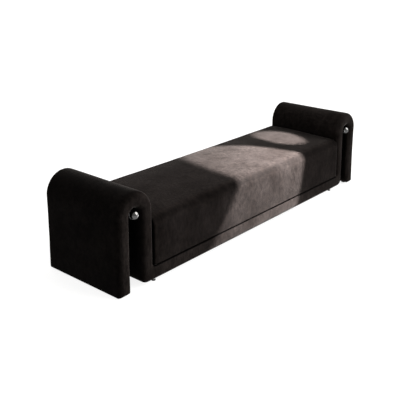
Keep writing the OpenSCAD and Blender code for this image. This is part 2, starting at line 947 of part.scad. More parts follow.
left_arm_sills();
left_arm_ribs();
left_arm_battens();
left_arm_outer_skin();
left_arm_slot_skin();
left_outer_leg_foam();
left_crown_foam();
left_inner_leg_foam();
left_arm_cover();
left_slot_rod();
left_rod_posts();
left_rod_screws();
left_front_ball();
left_back_ball();
left_leg_glides();
left_arm_bolts();
right_arm_sills();
right_arm_ribs();
right_arm_battens();
right_arm_outer_skin();
right_arm_slot_skin();
right_outer_leg_foam();
right_crown_foam();
right_inner_leg_foam();
right_arm_cover();
right_slot_rod();
right_rod_posts();
right_rod_screws();
right_front_ball();
right_back_ball();
right_leg_glides();
right_arm_bolts();
base_rails();
base_crossbars();
base_deck();
base_foam();
base_cover();
base_dust_cloth();
foot_inserts();
seat_frame();
seat_webbing();
seat_foam();
seat_cover();
seat_bolts();
front_left_stud();
front_left_pad();
front_right_stud();
front_right_pad();
back_left_stud();
back_left_pad();
back_right_stud();
back_right_pad();
front_middle_stud();
front_middle_pad();
back_middle_stud();
back_middle_pad();
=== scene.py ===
"""Upholstered bench: padding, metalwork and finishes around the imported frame, in metres."""

import json
import logging
import math
from dataclasses import dataclass, field
from enum import Enum
from typing import Any, Callable

import bmesh
import bpy
import numpy as np
from bmesh.types import BMEdge, BMesh, BMFace, BMVert
from bpy.types import Light, Material, Mesh, Node, NodeSocket, Object
from mathutils import Matrix, Quaternion, Vector, kdtree, noise

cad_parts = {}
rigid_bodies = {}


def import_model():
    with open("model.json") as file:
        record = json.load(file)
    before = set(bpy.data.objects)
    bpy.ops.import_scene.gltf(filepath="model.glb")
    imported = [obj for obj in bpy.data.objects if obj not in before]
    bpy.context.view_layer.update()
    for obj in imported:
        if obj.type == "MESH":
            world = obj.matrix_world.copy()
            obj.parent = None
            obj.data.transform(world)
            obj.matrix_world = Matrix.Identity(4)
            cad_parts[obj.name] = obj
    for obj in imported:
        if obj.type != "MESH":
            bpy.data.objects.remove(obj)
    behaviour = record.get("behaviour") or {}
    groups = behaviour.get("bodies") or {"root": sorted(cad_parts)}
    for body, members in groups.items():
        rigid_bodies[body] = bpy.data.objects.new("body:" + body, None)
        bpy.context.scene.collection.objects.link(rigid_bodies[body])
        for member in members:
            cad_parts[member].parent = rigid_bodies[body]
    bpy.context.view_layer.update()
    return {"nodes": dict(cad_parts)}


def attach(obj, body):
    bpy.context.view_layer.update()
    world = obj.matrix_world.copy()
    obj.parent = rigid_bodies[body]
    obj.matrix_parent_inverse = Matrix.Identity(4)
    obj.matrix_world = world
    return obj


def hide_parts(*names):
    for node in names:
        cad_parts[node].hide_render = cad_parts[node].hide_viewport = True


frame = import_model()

log = logging.getLogger("bench")

BODY = "bench"
# Layer of painted shade that the padded pieces store at each point.
PAINTED_SHADE = "painted_shade"
TINY = 1e-6

Colour = tuple[float, float, float]
Place = tuple[float, float, float]
Radii = tuple[float, float, float, float]
Turns = tuple[float, float, float, float]
Hold = Callable[[np.ndarray], np.ndarray]


# Sizes


@dataclass(frozen=True)
class BenchSizes:
    """Main sizes of the bench, in metres, as the frame has them."""

    half_length: float = 1.300
    depth: float = 0.640
    arm_height: float = 0.605
    seat_height: float = 0.424
    slab: float = 0.092
    slot: float = 0.086
    edge_round: float = 0.034
    back_round: float = 0.012
    sole_round: float = 0.008
    sole_inner_round: float = 0.044
    turn_round: float = 0.048
    base_top_round: float = 0.006
    base_clear: float = 0.022
    leg_clear: float = 0.005
    ball_diameter: float = 0.055
    ball_inset: float = 0.022

    @property
    def arm_width(self) -> float:
        """Width of an arm over both legs."""
        return 2 * self.slab + self.slot

    @property
    def arm_x(self) -> float:
        """Middle of the right arm."""
        return self.half_length - self.arm_width / 2

    @property
    def crown_z(self) -> float:
        """Height of the axis that the crown turns about."""
        return self.arm_height - self.arm_width / 2

    @property
    def path_round(self) -> float:
        """Radius of the middle of the ribbon round the slot."""
        return (self.slot + self.slab) / 2

    @property
    def outer_leg_x(self) -> float:
        """Middle of the right arm's outer leg."""
        return self.arm_x + self.path_round

    @property
    def inner_leg_x(self) -> float:
        """Middle of the right arm's inner leg."""
        return self.arm_x - self.path_round

    @property
    def joint_x(self) -> float:
        """Joint between the base and the right arm."""
        return self.half_length - self.arm_width

    @property
    def base_top(self) -> float:
        """Top of the ribbon under the seat."""
        return self.base_clear + self.slab

    @property
    def turn_x(self) -> float:
        """Middle of the turn from the inner leg into the base."""
        return self.joint_x + self.slab - self.turn_round


# Finishes


class Slot(Enum):
    """The record's material slots."""

    PILE = "pile_fabric"
    FOAM = "foam"
    PLYWOOD = "plywood"
    TIMBER = "timber"
    STEEL = "polished_steel"
    ZINC = "zinc_plated_steel"
    DUST_CLOTH = "dust_cloth"
    WEBBING = "webbing"
    NYLON = "nylon"


class Recipe:
    """A material's node tree, with short ways to add nodes and join them."""

    def __init__(self, name: str) -> None:
        """Start a material that has only its shader.

        Args:
            name: Name of the material.
        """
        self.material = bpy.data.materials.new(name)
        self.material.use_nodes = True
        self.nodes = self.material.node_tree.nodes
        self.links = self.material.node_tree.links
        self.place = self.add("ShaderNodeTexCoord").outputs["Object"]

    def put(self, node: Node, values: dict[Any, Any]) -> None:
        """Set or link some inputs of a node.

        Args:
            node: The node.
            values: Constants or other nodes' outputs, by the names or numbers of the inputs.
        """
        for name, value in values.items():
            if isinstance(value, NodeSocket):
                self.links.new(value, node.inputs[name])
            else:
                node.inputs[name].default_value = value

    def add(self, kind: str, values: dict[Any, Any] | None = None, **settings: Any) -> Node:
        """Add one node.

        Args:
            kind: Type name of the node.
            values: What its inputs take.
            **settings: Properties of the node.

        Returns:
            The new node.
        """
        node = self.nodes.new(kind)
        for name, value in settings.items():
            setattr(node, name, value)
        self.put(node, values or {})
        return node

    def surface(self, **values: Any) -> None:
        """Set or link the shader's own inputs.

        Args:
            **values: Constants or sockets by the inputs' names, with _ for a space.
        """
        self.put(self.nodes["Principled BSDF"],
                 {name.replace("_", " "): value for name, value in values.items()})

    def stretched(self, scale: Place) -> NodeSocket:
        """Object coordinates with their own scale along each axis."""
        return self.add(
            "ShaderNodeMapping", {"Scale": scale, "Vector": self.place}).outputs["Vector"]

    def cloud(self, scale: float, detail: float = 4.0, roughness: float = 0.55,
              place: NodeSocket | None = None) -> NodeSocket:
        """Noise over the object.

        Args:
            scale: Number of features in a metre.
            detail: Octaves of finer noise.
            roughness: Strength of the finer octaves.
            place: Coordinates, or the object's own.

        Returns:
            The noise factor's socket.
        """
        return self.add("ShaderNodeTexNoise", {
            "Scale": scale, "Detail": detail, "Roughness": roughness,
            "Vector": place or self.place}).outputs["Fac"]

    def bands(self, direction: str, scale: float, distortion: float) -> NodeSocket:
        """Even bands across one axis.

        Args:
            direction: Axis that the bands follow each other along.
            scale: How close they lie.
            distortion: How much they waver.

        Returns:
            The band factor's socket.
        """
        return self.add(
            "ShaderNodeTexWave",
            {"Scale": scale, "Distortion": distortion, "Vector": self.place},
            bands_direction=direction).outputs["Fac"]

    def shades(self, factor: NodeSocket, stops: list[tuple[float, Colour]]) -> NodeSocket:
        """Colours along a factor.

        Args:
            factor: Socket that picks the colour.
            stops: Positions and their colours, lowest first.

        Returns:
            The colour's socket.
        """
        ramp = self.add("ShaderNodeValToRGB", {"Fac": factor})
        elements = ramp.color_ramp.elements
        while len(elements) < len(stops):
            elements.new(0.5)
        for element, (position, colour) in zip(elements, stops):
            element.position = position
            element.color = (*colour, 1.0)
        return ramp.outputs["Color"]

    def span(self, factor: NodeSocket, low: float, high: float) -> NodeSocket:
        """A noise factor moved to another range.

        Args:
            factor: Socket to move.
            low: Lowest value.
            high: Highest value.

        Returns:
            The moved factor's socket.
        """
        return self.add("ShaderNodeMapRange", {
            "From Min": 0.3, "From Max": 0.7, "To Min": low, "To Max": high,
            "Value": factor}).outputs["Result"]

    def stored(self, name: str) -> NodeSocket:
        """A value that the mesh stores at each point."""
        return self.add("ShaderNodeAttribute", attribute_name=name).outputs["Fac"]

    def blended(self, share: float, first: NodeSocket, second: NodeSocket,
                kind: str = "MIX") -> NodeSocket:
        """Mix two colours.

        Args:
            share: Share of the second colour.
            first: First colour's socket.
            second: Second colour's socket.
            kind: Blend type.

        Returns:
            The mixed colour's socket.
        """
        return self.add("ShaderNodeMix", {0: share, 6: first, 7: second},
                        data_type="RGBA", blend_type=kind).outputs[2]

    def relief(self, layers: list[tuple[NodeSocket, float]]) -> None:
        """Drive the shader's normal from several heights.

        Args:
            layers: Height sockets with their depths in metres.
        """
        normal = {}
        for height, depth in layers:
            bump = self.add("ShaderNodeBump", {
                "Strength": 1.0, "Distance": depth, "Height": height, **normal})
            normal = {"Normal": bump.outputs["Normal"]}
        self.surface(**normal)


class Finish:
    """One kind of surface."""

    def build(self, name: str) -> Material:
        """Make the material.

        Args:
            name: Name of the material.

        Returns:
            The material.
        """
        recipe = Recipe(name)
        self.mix(recipe)
        return recipe.material

    def mix(self, recipe: Recipe) -> None:
        """Add what makes the surface."""
        raise NotImplementedError


@dataclass(frozen=True)
class PileFinish(Finish):
    """Short dense pile: near black, mottled at random, darkened where a stored layer of painted
    shade says, with a soft sheen.
    """

    deep: Colour = (0.0040, 0.0031, 0.0028)
    middle: Colour = (0.0064, 0.0052, 0.0048)
    worn: Colour = (0.0094, 0.0078, 0.0073)
    sheen: float = 0.10
    sheen_round: float = 0.25
    sheen_tint: Colour = (0.94, 0.88, 0.85)
    brush: Place = (1.0, 0.55, 0.40)

    def mix(self, recipe: Recipe) -> None:
        """Add the pile, its random mottling and its stored painted shade.

        Args:
            recipe: Material that takes it.
        """
        patches = recipe.cloud(5.5, detail=5.0, roughness=0.58)
        brushed = recipe.cloud(
            64.0, detail=6.0, roughness=0.66, place=recipe.stretched(self.brush))
        tufts = recipe.cloud(620.0, detail=2.0, roughness=0.5)
        colour = recipe.shades(
            patches, [(0.30, self.deep), (0.50, self.middle), (0.74, self.worn)])
        for factor, stops in (
                (brushed, [(0.38, (0.66, 0.64, 0.64)), (0.50, (1.0,) * 3),
                           (0.62, (1.36, 1.34, 1.32))]),
                (tufts, [(0.30, (0.66,) * 3), (0.70, (1.32,) * 3)]),
                # Painted shade: the stored layer multiplies the colour down to 2 per cent.
                (recipe.stored(PAINTED_SHADE), [(0.0, (1.0,) * 3), (1.0, (0.02,) * 3)])):
            colour = recipe.blended(1.0, colour, recipe.shades(factor, stops), "MULTIPLY")
        recipe.surface(
            Base_Color=colour, Roughness=recipe.span(brushed, 0.78, 0.94), IOR=1.05,
            Sheen_Weight=self.sheen, Sheen_Roughness=self.sheen_round,
            Sheen_Tint=(*self.sheen_tint, 1.0))
        recipe.relief([(patches, 0.0030), (brushed, 0.0011), (tufts, 0.00045)])


@dataclass(frozen=True)
class MetalFinish(Finish):
    """Bare or plated metal."""

    colour: Colour
    roughness: float
    cloudiness: float
    scratch: float

    def mix(self, recipe: Recipe) -> None:
        """Add the metal with its smears and scratches.

        Args:
            recipe: Material that takes it.
        """
        smears = recipe.cloud(70.0)
        lines = recipe.cloud(
            900.0, detail=2.0, roughness=0.5, place=recipe.stretched((1.0, 0.06, 1.0)))
        dim = tuple(c * 0.86 for c in self.colour)
        recipe.surface(
            Base_Color=recipe.shades(smears, [(0.3, dim), (0.7, self.colour)]), Metallic=1.0,
            Roughness=recipe.span(smears, self.roughness, self.roughness + self.cloudiness))
        recipe.relief([(lines, self.scratch)])


@dataclass(frozen=True)
class WoodFinish(Finish):
    """Sawn timber or plywood with its grain along one axis."""

    light: Colour
    dark: Colour
    grain: Place
    layers: bool = False

    def mix(self, recipe: Recipe) -> None:
        """Add the grain.

        Args:
            recipe: Material that takes it.
        """
        along = recipe.stretched(self.grain)
        rings = recipe.cloud(26.0, detail=6.0, roughness=0.6, place=along)
        pores = recipe.cloud(240.0, detail=3.0, roughness=0.6, place=along)
        colour = recipe.blended(
            0.35,
            recipe.shades(rings, [(0.35, self.light), (0.62, self.dark)]),
            recipe.shades(pores, [(0.35, self.dark), (0.60, self.light)]))
        if self.layers:
            plies = recipe.shades(recipe.bands("Z", 110.0, distortion=0.6),
                                  [(0.3, self.dark), (0.7, self.light)])
            colour = recipe.blended(0.25, colour, plies)
        recipe.surface(Base_Color=colour, Roughness=recipe.span(rings, 0.55, 0.75))
        recipe.relief([(rings, 0.0004), (pores, 0.0002)])


@dataclass(frozen=True)
class WovenFinish(Finish):
    """Plain black cloth or strap with a woven face."""

    dark: Colour
    light: Colour
    threads: float
    depth: float

    def mix(self, recipe: Recipe) -> None:
        """Add the weave.

        Args:
            recipe: Material that takes it.
        """
        threads = {number: recipe.bands(axis, self.threads, distortion=0.4)
                   for number, axis in enumerate("XY")}
        weave = recipe.add("ShaderNodeMath", threads, operation="MULTIPLY").outputs[0]
        recipe.surface(
            Base_Color=recipe.shades(weave, [(0.1, self.dark), (0.8, self.light)]),
            Roughness=recipe.span(recipe.cloud(60.0), 0.82, 0.95))
        recipe.relief([(weave, self.depth)])


@dataclass(frozen=True)
class MouldedFinish(Finish):
    """Moulded nylon or cut foam: one colour with a fine skin."""

    dark: Colour
    light: Colour
    pitch: float
    depth: float
    roughness: float

    def mix(self, recipe: Recipe) -> None:
        """Add the skin.

        Args:
            recipe: Material that takes it.
        """
        skin = recipe.cloud(self.pitch, detail=3.0)
        recipe.surface(
            Base_Color=recipe.shades(skin, [(0.3, self.dark), (0.7, self.light)]),
            Roughness=recipe.span(skin, self.roughness, self.roughness + 0.12))
        recipe.relief([(skin, self.depth)])


class Finishes:
    """Every finish of the bench, made once each."""

    def __init__(self) -> None:
        """Make one material for each slot."""
        recipes = {
            Slot.PILE: PileFinish(),
            Slot.STEEL: MetalFinish(
                (0.10, 0.10, 0.10), roughness=0.10, cloudiness=0.05, scratch=0.00002),
            Slot.ZINC: MetalFinish(
                (0.50, 0.51, 0.50), roughness=0.30, cloudiness=0.20, scratch=0.00006),
            Slot.TIMBER: WoodFinish(
                light=(0.52, 0.33, 0.17), dark=(0.34, 0.19, 0.09), grain=(0.12, 1.0, 1.0)),
            Slot.PLYWOOD: WoodFinish(
                light=(0.60, 0.42, 0.24), dark=(0.42, 0.27, 0.14), grain=(1.0, 0.15, 1.0),
                layers=True),
            Slot.DUST_CLOTH: WovenFinish(
                dark=(0.004, 0.004, 0.004), light=(0.020, 0.020, 0.021), threads=260.0,
                depth=0.0002),
            Slot.WEBBING: WovenFinish(
                dark=(0.010, 0.010, 0.010), light=(0.045, 0.043, 0.040), threads=190.0,
                depth=0.0004),
            Slot.NYLON: MouldedFinish(
                dark=(0.006, 0.006, 0.006), light=(0.012, 0.012, 0.012), pitch=500.0,
                depth=0.00005, roughness=0.42),
            Slot.FOAM: MouldedFinish(
                dark=(0.62, 0.52, 0.30), light=(0.74, 0.64, 0.40), pitch=700.0,
                depth=0.0004, roughness=0.85),
        }
        self.made = {slot: recipe.build(slot.value) for slot, recipe in recipes.items()}

    def dress(self, piece: Object, slot: Slot) -> None:
        """Give a piece its finish and name its slot.

        Args:
            piece: Mesh object.
            slot: Slot that its finish comes from.
        """
        if piece.material_slots:
            for place in piece.material_slots:
                place.material = self.made[slot]
        else:
            piece.data.materials.append(self.made[slot])


# Shapes


ALONG_X = Matrix.Rotation(math.pi / 2, 4, "Y")
TO_FRONT = Matrix.Rotation(math.pi / 2, 4, "X")
OVERLAP = 0.001
AT_CUT = 1e-4
AT_MIDDLE = 1e-5


def panel(width: float, depth: float, radii: Radii, steps: int = 8) -> BMesh:
    """Rounded rectangle in the X-Y plane, centred on the origin.

    Args:
        width: Size along X.
        depth: Size along Y.
        radii: Radius at -X -Y, +X -Y, +X +Y and -X +Y, where 0 leaves a sharp corner.
        steps: Faces in each rounded corner.

    Returns:
        A mesh of one face.
    """
    shape = bmesh.new()
    bmesh.ops.create_grid(shape, x_segments=1, y_segments=1, size=0.5)
    bmesh.ops.scale(shape, vec=(width, depth, 1.0), verts=shape.verts)
    for (x_sign, y_sign), radius in zip(((-1, -1), (1, -1), (1, 1), (-1, 1)), radii):
        if radius > 0:
            corner = [v for v in shape.verts if v.co.x * x_sign > width / 2 - TINY
                      and v.co.y * y_sign > depth / 2 - TINY]
            bmesh.ops.bevel(
                shape, geom=corner, offset=radius, offset_type="OFFSET", segments=steps,
                profile=0.5, affect="VERTICES", material=-1)
    return shape


def whole(shape: BMesh) -> list[Any]:
    """All the vertices, edges and faces of a mesh."""
    return shape.verts[:] + shape.edges[:] + shape.faces[:]


def bounded(faces: list[BMFace]) -> list[Any]:
    """Some faces of a mesh with their edges and vertices.

    Args:
        faces: The faces.

    Returns:
        All these parts.
    """
    edges = dict.fromkeys(e for f in faces for e in f.edges)
    verts = dict.fromkeys(v for f in faces for v in f.verts)
    return [*verts, *edges, *faces]


def verts_in(geometry: list[Any]) -> list[BMVert]:
    """The vertices among some parts of a mesh."""
    return [part for part in geometry if isinstance(part, BMVert)]


def firm(edges: list[BMEdge]) -> None:
    """Let edges stay sharp where the faces round them are shaded smooth."""
    for edge in edges:
        edge.smooth = False


def bar(width: float, depth: float, length: float, radii: Radii) -> BMesh:
    """Closed bar with rounded edges, from the X-Y plane up along Z.

    Args:
        width: Size along X.
        depth: Size along Y.
        length: Size along Z.
        radii: Radii of its section, as for a panel.

    Returns:
        The mesh.
    """
    shape = panel(width, depth, radii)
    moved = bmesh.ops.extrude_face_region(shape, geom=shape.faces[:])["geom"]
    bmesh.ops.translate(shape, vec=(0, 0, length), verts=verts_in(moved))
    return shape


def bend(width: float, depth: float, radii: Radii, radius: float, angle: float,
         steps: int) -> BMesh:
    """Closed piece of a ring round the Y axis.

    Args:
        width: Size of its section across.
        depth: Size along Y.
        radii: Radii of its section, as for a panel.
        radius: Distance from the axis to the middle of the section.
        angle: Turn in radians, where a positive turn takes +X to -Z.
        steps: Pieces of the turn.

    Returns:
        The mesh.
    """
    shape = panel(width, depth, radii)
    bmesh.ops.translate(shape, vec=(radius, 0, 0), verts=shape.verts)
    bmesh.ops.spin(shape, geom=whole(shape), cent=(0, 0, 0), axis=(0, 1, 0), angle=angle,
                   steps=steps, use_merge=False)
    bmesh.ops.remove_doubles(shape, verts=shape.verts, dist=TINY)
    bmesh.ops.dissolve_degenerate(shape, edges=shape.edges, dist=1e-7)
    return shape


def absorb(shape: BMesh, other: BMesh) -> None:
    """Add a second mesh to the first and use it up.

    Args:
        shape: Mesh that grows.
        other: Mesh that is used up.
    """
    scratch = bpy.data.meshes.new("part")
    other.to_mesh(scratch)
    other.free()
    shape.from_mesh(scratch)
    bpy.data.meshes.remove(scratch)


def finished(shape: BMesh, name: str) -> Object:
    """Make a mesh a smooth-shaded piece in the scene.

    Args:
        shape: Mesh, which is used up.
        name: Name of the piece.

    Returns:
        The piece.
    """
    for face in shape.faces:
        face.smooth = True
    mesh = bpy.data.meshes.new(name)
    shape.to_mesh(mesh)
    shape.free()
    piece = bpy.data.objects.new(name, mesh)
    bpy.context.scene.collection.objects.link(piece)
    return piece


class Volumes:
    """Closed volumes that overlap, over which one skin is then drawn."""

    def __init__(self) -> None:
        """Start with nothing."""
        self.mesh = bmesh.new()

    def take(self, part: BMesh, place: Matrix) -> None:
        """Close a part, turn its faces outwards and add it.

        Args:
            part: Mesh, which is used up.
            place: Where it goes.
        """
        bmesh.ops.transform(part, matrix=place, verts=part.verts)
        bmesh.ops.holes_fill(part, edges=[e for e in part.edges if e.is_boundary], sides=0)
        bmesh.ops.recalc_face_normals(part, faces=part.faces)
        absorb(self.mesh, part)

    def shared(self, parts: list[tuple[BMesh, Matrix]]) -> None:
        """Add the volume that several parts have in common.

        Args:
            parts: Closed meshes, which are used up, and where each goes.
        """
        pieces = []
        for shape, place in parts:
            alone = Volumes()
            alone.take(shape, place)
            pieces.append(finished(alone.mesh, "part"))
        for cutter in pieces[1:]:
            overlap = pieces[0].modifiers.new("overlap", "BOOLEAN")
            overlap.operation = "INTERSECT"
            overlap.solver = "EXACT"
            overlap.object = cutter
        graph = bpy.context.evaluated_depsgraph_get()
        common = bpy.data.meshes.new_from_object(pieces[0].evaluated_get(graph))
        self.mesh.from_mesh(common)
        bpy.data.meshes.remove(common)
        for piece in pieces:
            bpy.data.objects.remove(piece)


def rows_of(values: Any, name: str) -> np.ndarray:
    """A vector of each item as rows.

    Args:
        values: Vertices or normals of a mesh.
        name: Name of the vector.

    Returns:
        One row for each item.
    """
    flat = np.empty(len(values) * 3, np.float32)
    values.foreach_get(name, flat)
    return flat.reshape(-1, 3).astype(float)


def points_of(mesh: Mesh) -> np.ndarray:
    """The vertices of a mesh as rows."""
    return rows_of(mesh.vertices, "co")


def normals_of(mesh: Mesh) -> np.ndarray:
    """The vertex normals of a mesh as rows."""
    return rows_of(mesh.vertex_normals, "vector")


def put_points(mesh: Mesh, points: np.ndarray) -> None:
    """Move the vertices of a mesh."""
    mesh.vertices.foreach_set("co", points.astype(np.float32).ravel())
    mesh.update()


def eased(values: np.ndarray, start: float, end: float) -> np.ndarray:
    """Smooth steps from 0 at start to 1 at end."""
    t = np.clip((values - start) / (end - start), 0.0, 1.0)
    return t * t * (3 - 2 * t)


@dataclass
class Padding:
    """Fabric over foam: a skin of even faces that is filled from inside and held where it rests."""

    voxel: float = 0.0065
    filling_voxel: float = 0.0125
    pressure: float = 4.0
    frames: int = 20
    share: float = 0.08
    cap: float = 0.0035
    weight: float = 0.3
    stretch: float = 40.0
    shear: float = 20.0
    bending: float = 4.0
    neighbours: int = 8
    blur: float = 0.004
    unevenness: float = 0.0007
    broad: float = 4.0
    fine: float = 11.0
    fine_share: float = 0.45

    def skin(self, piece: Object, voxel: float) -> None:
        """Draw one skin of even faces over the piece's volumes.

        Args:
            piece: Object of closed volumes.
            voxel: Size of the skin's faces.
        """
        remesh = piece.modifiers.new("skin", "REMESH")
        remesh.mode = "VOXEL"
        remesh.voxel_size = voxel
        self.apply(piece)

    def apply(self, piece: Object) -> None:
        """Make the piece's modifiers part of its mesh.

        Args:
            piece: Object with modifiers.
        """
        graph = bpy.context.evaluated_depsgraph_get()
        mesh = bpy.data.meshes.new_from_object(piece.evaluated_get(graph))
        piece.modifiers.clear()
        piece.vertex_groups.clear()
        old, piece.data = piece.data, mesh
        if not old.users:
            bpy.data.meshes.remove(old)

    def pad(self, piece: Object, hold: Hold) -> None:
        """Turn the piece's volumes into one filled skin.

        Args:
            piece: Object of closed volumes.
            hold: Gives 1 for points that stay and 0 for points that are free.
        """
        rest, travel = None, None
        rest, travel = self.filling(piece, hold)
        self.skin(piece, self.voxel)
        points = points_of(piece.data)
        if travel is not None:
            points = points + self.carried(points, rest, travel)
            put_points(piece.data, points)
        self.roughen(piece, 1.0 - hold(points))

    def filling(self, piece: Object, hold: Hold) -> tuple[np.ndarray, np.ndarray]:
        """Fill a coarser skin with Cloth and measure how far it swells.

        Args:
            piece: Object of closed volumes.
            hold: Gives 1 for points that stay and 0 for points that are free.

        Returns:
            Points of the coarser skin, and the travel of each.
        """
        trial = bpy.data.objects.new("filling", piece.data)
        bpy.context.scene.collection.objects.link(trial)
        self.skin(trial, self.filling_voxel)
        rest = points_of(trial.data)
        held = np.round(hold(rest), 1)
        group = trial.vertex_groups.new(name="held")
        for weight in np.unique(held[held > 0]):
            group.add(np.nonzero(held == weight)[0].tolist(), float(weight), "REPLACE")
        cloth = trial.modifiers.new("filling", "CLOTH")
        rules = cloth.settings
        rules.quality = 4
        rules.mass = self.weight
        rules.tension_stiffness = rules.compression_stiffness = self.stretch
        rules.shear_stiffness = self.shear
        rules.bending_stiffness = self.bending
        rules.use_pressure = True
        rules.uniform_pressure_force = self.pressure
        rules.effector_weights.gravity = 0.0
        rules.vertex_group_mass = group.name
        cloth.point_cache.frame_start = 1
        cloth.point_cache.frame_end = self.frames
        for number in range(1, self.frames + 1):
            bpy.context.scene.frame_set(number)
        self.apply(trial)
        bpy.context.scene.frame_set(1)
        travel = (points_of(trial.data) - rest) * self.share
        length = np.linalg.norm(travel, axis=1)
        capped = self.cap * np.tanh(length / self.cap)
        travel *= (capped / np.maximum(length, 1e-9))[:, None]
        log.info("%s swells %.1f mm at most", piece.name, capped.max() * 1e3)
        bpy.data.objects.remove(trial)
        return rest, travel

    def carried(self, points: np.ndarray, rest: np.ndarray, travel: np.ndarray) -> np.ndarray:
        """Carry the travel of the coarser skin over to other points.

        Args:
            points: Points of the final skin.
            rest: Points of the coarser skin.
            travel: Travel of the coarser skin's points.

        Returns:
            Travel of each of the final skin's points.
        """
        tree = kdtree.KDTree(len(rest))
        for index, place in enumerate(rest):
            tree.insert(place, index)
        tree.balance()
        found = [tree.find_n(place, self.neighbours) for place in points]
        index = np.array([[near[1] for near in row] for row in found])
        weight = 1.0 / (np.array([[near[2] for near in row] for row in found]) + self.blur) ** 2
        weight /= weight.sum(1, keepdims=True)
        return (travel[index] * weight[:, :, None]).sum(1)

    def roughen(self, piece: Object, free: np.ndarray) -> None:
        """Add the slight unevenness of hand-laid padding.

        Args:
            piece: Skin object.
            free: Share of the unevenness that each point takes.
        """
        points, normals = points_of(piece.data), normals_of(piece.data)
        height = np.array([
            noise.noise(Vector(p) * self.broad)
            + self.fine_share * noise.noise(Vector(p) * self.fine) for p in points])
        put_points(piece.data, points + normals * (height * free * self.unevenness)[:, None])


def worked(piece: Object) -> BMesh:
    """A copy of a piece's mesh to work on.

    Args:
        piece: Mesh object.

    Returns:
        The copy.
    """
    shape = bmesh.new()
    shape.from_mesh(piece.data)
    return shape


def cut_at(shape: BMesh, x: float, keep_high: bool) -> None:
    """Cut a mesh along a plane across X and drop one side.

    Args:
        shape: Mesh.
        x: Place of the cut.
        keep_high: Keep what lies past the cut.
    """
    bmesh.ops.bisect_plane(
        shape, geom=whole(shape), dist=TINY, plane_co=(x, 0, 0), plane_no=(1, 0, 0),
        clear_inner=keep_high, clear_outer=not keep_high)
    settle_rim(shape, x)


def settle_rim(shape: BMesh, x: float) -> None:
    """Bring the rim of a cut exactly to its plane.

    Args:
        shape: Cut mesh.
        x: Place of the cut.
    """
    for vert in shape.verts:
        if vert.is_boundary and abs(vert.co.x - x) < AT_CUT:
            vert.co.x = x


def part_at(shape: BMesh, x: float, top: float, keep_high: bool) -> None:
    """Part a mesh along a plane across X, where only what lies below a height can be past it.

    Args:
        shape: Mesh.
        x: Place of the cut.
        top: Height that the cut ends at.
        keep_high: Keep what lies past the cut and above it.
    """
    low = [f for f in shape.faces if f.calc_center_median().z < top]
    bmesh.ops.bisect_plane(
        shape, geom=bounded(low), dist=TINY, plane_co=(x, 0, 0), plane_no=(1, 0, 0))
    dropped = []
    for face in shape.faces:
        middle = face.calc_center_median()
        if (middle.x < x and middle.z < top) == keep_high:
            dropped.append(face)
    bmesh.ops.delete(shape, geom=dropped, context="FACES")
    settle_rim(shape, x)


def close_cut(shape: BMesh) -> None:
    """Fill the open rims of a mesh, with a firm edge round each filled face.

    Args:
        shape: Mesh with open rims.
    """
    rims = [e for e in shape.edges if e.is_boundary]
    bmesh.ops.holes_fill(shape, edges=rims, sides=0)
    firm(rims)


def mirrored(shape: BMesh) -> BMesh:
    """A copy of a mesh on the other side of the bench.

    Args:
        shape: Mesh.

    Returns:
        The copy.
    """
    other = shape.copy()
    bmesh.ops.scale(other, vec=(-1.0, 1.0, 1.0), verts=other.verts)
    bmesh.ops.reverse_faces(other, faces=other.faces)
    return other


def joined(first: BMesh, second: BMesh) -> BMesh:
    """Two halves sewn together where they meet.

    Args:
        first: Mesh that grows.
        second: Mesh that is used up.

    Returns:
        The first mesh.
    """
    absorb(first, second)
    seam = [v for v in first.verts if abs(v.co.x) < AT_MIDDLE]
    bmesh.ops.remove_doubles(first, verts=seam, dist=2 * AT_MIDDLE)
    return first


# Sub-assemblies


@dataclass
class Assembly:
    """A group of pieces that are made together, from the finishes of the bench."""

    finishes: Finishes

    def build(self) -> None:
        """Make the pieces."""
        raise NotImplementedError


@dataclass
class Upholstery(Assembly):
    """Padded pieces in one pile fabric."""

    sizes: BenchSizes = field(default_factory=BenchSizes)
    padding: Padding = field(default_factory=Padding)
    past_middle: float = 0.16

    def painted_shade_at(self, points: np.ndarray, normals: np.ndarray) -> np.ndarray:
        """How much painted shade darkens the pile at each point, from 0 to 1."""
        raise NotImplementedError

    def settle(self, piece: Object, fill: float) -> None:
        """Dress a padded piece and let it ride on the bench.

        Args:
            piece: Skin that replaces its solids.
            fill: Share of the skin that the foam fills; not used.
        """
        # Painted shade: stored at each point, it darkens the pile's colour.
        painted_shade_at = self.painted_shade_at(points_of(piece.data), normals_of(piece.data))
        layer = piece.data.attributes.new(PAINTED_SHADE, "FLOAT", "POINT")
        layer.data.foreach_set("value", np.clip(painted_shade_at, 0.0, 1.0).astype(np.float32))
        self.finishes.dress(piece, Slot.PILE)
        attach(piece, BODY)
        log.info("%s: %d faces", piece.name, len(piece.data.polygons))


